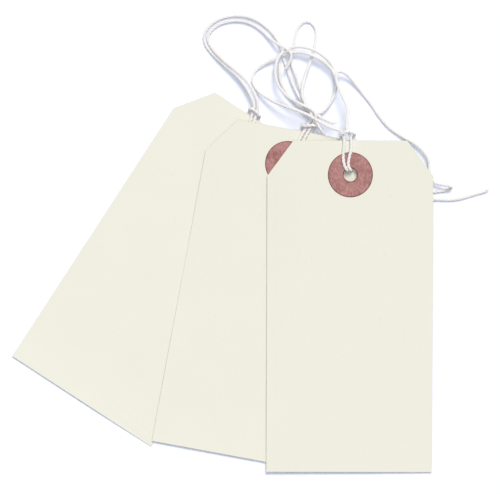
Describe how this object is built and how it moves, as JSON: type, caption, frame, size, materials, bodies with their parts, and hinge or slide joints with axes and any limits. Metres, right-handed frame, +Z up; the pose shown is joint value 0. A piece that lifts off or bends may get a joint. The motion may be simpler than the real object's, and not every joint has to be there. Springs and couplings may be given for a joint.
{
  "type": "gift tag set",
  "caption": "Fan of plain manila paper tags with clipped top corners and reinforced holes, each strung with a hitched cotton twine in one loose tangle",
  "frame": {"origin": "on the table, under the middle of the three cards", "axes": "+Z up off the table, +Y along the front tag towards its hole, +X to the right across the fan"},
  "size_m": [0.1729, 0.1667, 0.0099],
  "materials": {
    "manila_card": "matte manila card",
    "fibre_patch": "matte red-brown fibre paper",
    "cotton_twine": "soft off-white twisted cotton"
  },
  "bodies": {
    "strings": {"left_hitch": "cotton_twine", "middle_hitch": "cotton_twine", "front_hitch": "cotton_twine", "left_outer_strand": "cotton_twine", "left_inner_strand": "cotton_twine", "middle_loop_strand": "cotton_twine", "middle_ring_strand": "cotton_twine", "front_ring_strand": "cotton_twine", "front_tail_strand": "cotton_twine"},
    "left_tag": {"left_card": "manila_card", "left_front_patch": "fibre_patch", "left_back_patch": "fibre_patch"},
    "middle_tag": {"middle_card": "manila_card", "middle_front_patch": "fibre_patch", "middle_back_patch": "fibre_patch"},
    "front_tag": {"front_card": "manila_card", "front_front_patch": "fibre_patch", "front_back_patch": "fibre_patch"}
  },
  "joints": [
    {"name": "left_swing", "type": "hinge", "parent": "strings", "child": "left_tag", "pos_m": [0.0078, 0.0474, 0.00144], "axis": [-0.0071, -0.0109, 0.9999], "range_deg": [-5, 12]},
    {"name": "middle_swing", "type": "hinge", "parent": "strings", "child": "middle_tag", "pos_m": [0.02365, 0.04325, 0.00388], "axis": [-0.0037, -0.0297, 0.9996], "range_deg": [-6, 10]},
    {"name": "front_swing", "type": "hinge", "parent": "strings", "child": "front_tag", "pos_m": [0.0464, 0.03915, 0.006], "axis": [0.0138, -0.045, 0.9989], "range_deg": [-6, 15]}
  ]
}
